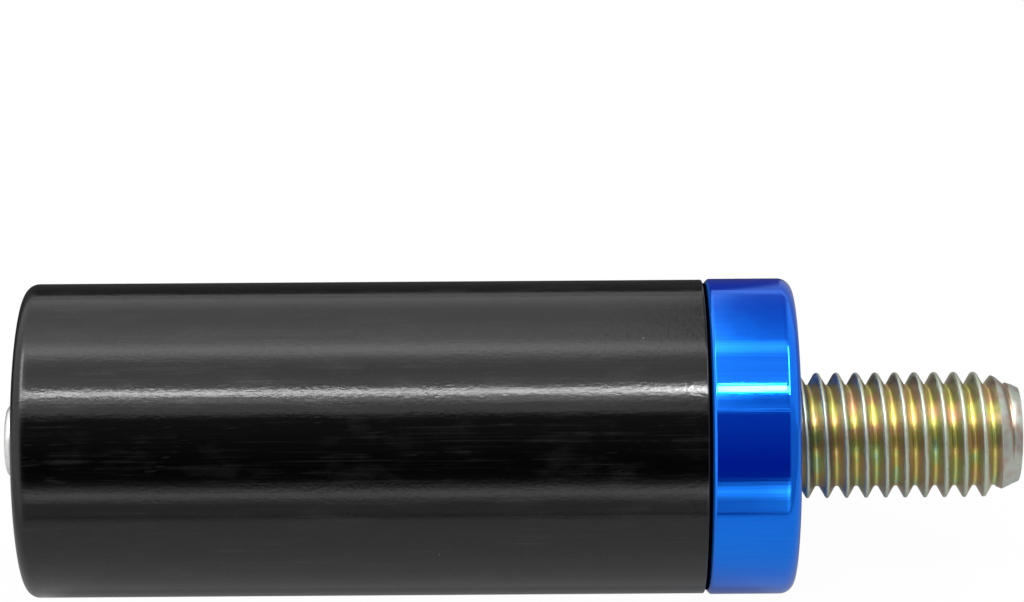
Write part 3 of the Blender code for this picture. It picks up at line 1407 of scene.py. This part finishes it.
@dataclass(frozen=True)
class LightTent:
    """The tent's walls, painted on the world: bands round the X axis, closed by pale side walls.

    Each band is a pair of an angle in degrees, from the front over the roof to the back, and a level where 1
    is white. The levels were worked out from the average brightness of rows of the photograph. They stand
    for the table's edge and the gap under the front wall, the roof's dark middle and its lamps, and the far
    wall. Each list starts with the level that the one before it ends with. To the right, where the collar
    and the stud mirror them, the bands are shaded in zones, and farther right they glow more in front.
    """

    front: Bands = (
        (-5.0, 0.50), (-4.4, 0.06), (-3.6, 0.06), (-3.2, 0.42), (0.0, 0.43), (3.4, 0.37),
        (5.0, 0.37), (6.5, 0.43), (8.1, 0.51), (9.6, 0.77), (11.2, 1.14), (12.9, 1.52),
        (14.4, 1.42), (15.9, 0.97), (17.4, 0.57), (18.8, 0.37), (20.2, 0.28), (21.6, 0.10),
        (23.5, 0.02),
    )
    roof: Bands = (
        (23.5, 0.02), (30.0, 0.003), (38.0, 0.005), (52.0, 0.042), (60.0, 0.066), (70.7, 0.07),
        (71.8, 0.41), (72.6, 1.05), (73.6, 1.08), (74.6, 1.06), (79.8, 0.85), (81.0, 2.10),
        (82.4, 2.58), (83.8, 1.35), (91.5, 1.00), (94.5, 1.20), (104.0, 0.98), (110.0, 1.06),
    )
    back: Bands = (
        (110.0, 1.06), (112.5, 1.18), (115.0, 1.47), (118.5, 2.45), (121.0, 3.05), (124.0, 2.95),
        (127.0, 2.17), (131.0, 1.63), (136.0, 1.51), (142.0, 1.29), (148.0, 1.05), (155.0, 0.92),
        (162.0, 0.80), (182.0, 0.91),
    )
    brightest: float = 3.2
    left_level: float = 1.1
    right_level: float = 0.36
    right_top_level: float = 0.75
    right_top_span: Span = (60.0, 95.0)
    middle_span: Span = (-0.1, 0.1)
    side_span: Span = (0.22, 0.50)
    shades: tuple[Zone, ...] = (
        Zone(0.35, (8.0, 11.0), (17.0, 15.0)),
        Zone(0.69, (73.4, 74.4), (90.0, 88.0)),
        Zone(0.15, (79.4, 80.4), (90.0, 88.0)),
        Zone(0.24, (88.0, 90.0)),
        Zone(0.20, (108.0, 114.0)),
        Zone(0.31, (121.0, 130.0)),
    )
    shade_span: Span = (0.053, 0.058)
    glow: Zone = Zone(1.4, (-8.0, 2.0), (32.0, 22.0))
    glow_span: Span = (0.069, 0.078)

    def build(self) -> None:
        """Paint the walls; the camera sees plain white in their place."""
        world = bpy.data.worlds.new("light_tent")
        world.use_nodes = True
        bpy.context.scene.world = world
        board = Board(world.node_tree)
        direction = board.add("ShaderNodeTexCoord").outputs["Generated"]
        x, y, z = board.axes(direction)
        elevation = z.angle_to(-y) * (180.0 / math.pi)
        level = self._painted(board, elevation, self.front)
        for bands in (self.roof, self.back):
            level = level + (self._painted(board, elevation, bands) - bands[0][1])
        shade = sum(zone.at(elevation) for zone in self.shades) * x.step(*self.shade_span)
        level = level * (1.0 - shade + self.glow.at(elevation) * x.step(*self.glow_span))
        right = elevation.step(*self.right_top_span).between(self.right_level, self.right_top_level)
        wall = x.step(*self.middle_span).between(self.left_level, right)
        walled = abs(x).step(*self.side_span).between(level, wall)
        camera = Value(board, board.add("ShaderNodeLightPath").outputs[Ray.CAMERA.value])
        seen = camera.between(walled, 1.0)
        light = board.add("ShaderNodeBackground", None, {"Color": (1.0, 1.0, 1.0), "Strength": seen})
        board.add("ShaderNodeOutputWorld", None, {"Surface": light.outputs[0]})

    def _painted(self, board: Board, elevation: Value, bands: Bands) -> Value:
        """Give the level of one list of bands.

        Args:
            board: the world's board.
            elevation: the angle in degrees.
            bands: the list.

        Returns:
            The level, held at the list's two ends.
        """
        low, high = bands[0][0], bands[-1][0]
        stops = [((place - low) / (high - low), (level / self.brightest,) * 3) for place, level in bands]
        ramp = board.add("ShaderNodeValToRGB", {"stops": stops}, {"Fac": (elevation - low) / (high - low)})
        return board.axes(ramp.outputs["Color"])[0] * self.brightest


@dataclass(frozen=True)
class Table:
    """The table: white card that stays white to the camera and keeps the bobbin's shadow.

    Behind the bobbin the card is painted dark for glossy rays only: a painted dark reflection that keeps the
    upper edges dark.
    """

    back: float = 0.34
    front: float = 0.124
    side: float = 0.40
    albedo: float = 0.42
    camera_albedo: float = 0.80
    camera_glow: float = 0.975
    gloss_glow: float = 0.15
    # Painted dark reflection behind the bobbin, seen only by glossy rays, and weaker beside the stud.
    dark_reflection_depth: float = 0.92
    dark_reflection_rise: Span = (0.008, 0.01425)
    dark_reflection_fall: Span = (0.190, 0.140)
    dark_reflection_stud_span: Span = (0.019, 0.023)
    dark_reflection_stud_share: float = 0.55

    def build(self, height: float) -> bpy.types.Object:
        """Lay the card.

        Args:
            height: the table's height.

        Returns:
            The table.
        """
        bm = bmesh.new()
        bmesh.ops.create_grid(bm, x_segments=1, y_segments=1, size=1.0)
        bmesh.ops.scale(bm, vec=(self.side, (self.front + self.back) / 2, 1.0), verts=bm.verts)
        bmesh.ops.translate(bm, vec=(0.0, (self.back - self.front) / 2, height), verts=bm.verts)
        table = solid("table", bm)
        table.data.materials.append(self._card())
        table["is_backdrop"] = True
        return table

    def _card(self) -> bpy.types.Material:
        """Make the card glow for the camera, and less so in reflections, which keep more of its shadow.

        Returns:
            The card's material.
        """
        material, board = Board.of_material("white_card")
        path = board.add("ShaderNodeLightPath")
        camera = Value(board, path.outputs[Ray.CAMERA.value])
        gloss = Value(board, path.outputs[Ray.GLOSSY.value])
        x, y, _ = board.axes(board.place())
        # Painted dark reflection: glossy rays see the card dark behind the bobbin, and less so beside the
        # stud.
        across = y.step(*self.dark_reflection_rise) * y.step(*self.dark_reflection_fall)
        along = x.step(*self.dark_reflection_stud_span).between(1.0, self.dark_reflection_stud_share)
        painted_dark_reflection = self.dark_reflection_depth * across * along * gloss
        colour = board.blend(camera, (self.albedo,) * 3, (self.camera_albedo,) * 3)
        colour = board.blend(painted_dark_reflection, colour, (0.0, 0.0, 0.0))
        card = board.add("ShaderNodeBsdfDiffuse", None, {"Color": colour}).outputs[0]
        glow = board.add("ShaderNodeEmission", None, {"Color": (1.0, 1.0, 1.0), "Strength": 1.0}).outputs[0]
        share = camera * self.camera_glow
        for ray in (Ray.GLOSSY, Ray.TRANSMISSION):
            share = share.largest(Value(board, path.outputs[ray.value]) * self.gloss_glow * (1.0 - painted_dark_reflection))
        board.show(board.mixed(share, card, glow))
        return material


@dataclass(frozen=True)
class Studio:
    """The studio: a table in a light tent, with lamps under its roof."""

    table: Table = Table()
    tent: LightTent = LightTent()
    lamps: tuple[SoftLight, ...] = (
        SoftLight("front_bar", 87.4, 0.0, distance=0.45, width=0.026, length=0.42, radiance=15.5),
        SoftLight("front_bulb", 88.3, 5.72, distance=0.449, width=0.034, length=0.0176, radiance=50.0),
        SoftLight("left_panel", 104.0, -22.0, distance=0.50, width=0.32, length=0.10, radiance=6.0),
        SoftLight("right_panel", 104.0, 22.0, distance=0.50, width=0.32, length=0.055, radiance=11.0),
    )

    def build(self, height: float) -> None:
        """Set up the table, the tent and the lamps.

        Args:
            height: the table's height.
        """
        self.table.build(height)
        self.tent.build()
        for lamp in self.lamps:
            lamp.build()


@dataclass(frozen=True)
class PhotoCamera:
    """The camera of the photograph: over the front of the table, close to the bobbin."""

    elevation_deg: float = 52.0
    roll_deg: float = 0.395
    distance: float = 0.24144
    rise: float = 0.008717
    slide: float = 0.00001
    focal_pixels: float = 3781.0
    sensor: float = 36.0

    def build(self) -> bpy.types.Object:
        """Place the camera and make it the scene's.

        Returns:
            The camera's object.
        """
        data = bpy.data.cameras.new("photo_camera")
        data.sensor_fit = "HORIZONTAL"
        data.sensor_width = self.sensor
        data.lens = self.focal_pixels / PHOTO_WIDTH * self.sensor
        data.clip_start = 0.01
        data.clip_end = 10.0
        elevation = math.radians(self.elevation_deg)
        roll = math.radians(self.roll_deg)
        back = Vector((0.0, -math.cos(elevation), math.sin(elevation)))
        level_up = Vector((0.0, math.sin(elevation), math.cos(elevation)))
        right = AXIS * math.cos(roll) - level_up * math.sin(roll)
        up = AXIS * math.sin(roll) + level_up * math.cos(roll)
        place = back * self.distance + up * self.rise + right * self.slide
        camera = stand("photo_camera", data)
        camera.matrix_world = Matrix.Translation(place) @ Matrix((right, up, back)).transposed().to_4x4()
        bpy.context.scene.camera = camera
        return camera


def main() -> None:
    """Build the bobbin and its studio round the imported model."""
    logging.basicConfig(level=logging.INFO, format="%(name)s: %(message)s")
    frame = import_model()
    cad_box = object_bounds()
    bpy.context.scene.view_settings.view_transform = "Standard"

    lathe = Lathe()
    pieces: list[Piece] = [
        SliderBody(BlackPlastic(*(corner.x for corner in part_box(SliderBody.node))), lathe),
        Collar(BlueAnodising(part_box(Collar.node)[0].x), lathe),
        ThreadedStud(YellowZinc(ThreadedStud.helix(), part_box(ThreadedStud.node)[1].x), lathe),
        EndPlug(BrightSteel(), Lathe(facets=96)),
    ]
    for piece in pieces:
        made = piece.build()
        LOG.info("%s stands for %s: %d faces", made.name, piece.node, len(made.data.polygons))
    insert = ThreadInsert(InsertBrass()).dress(frame["nodes"][ThreadInsert.node])

    Studio().build(cad_box[0][2])
    PhotoCamera().build()


if __name__ == "__main__":
    main()
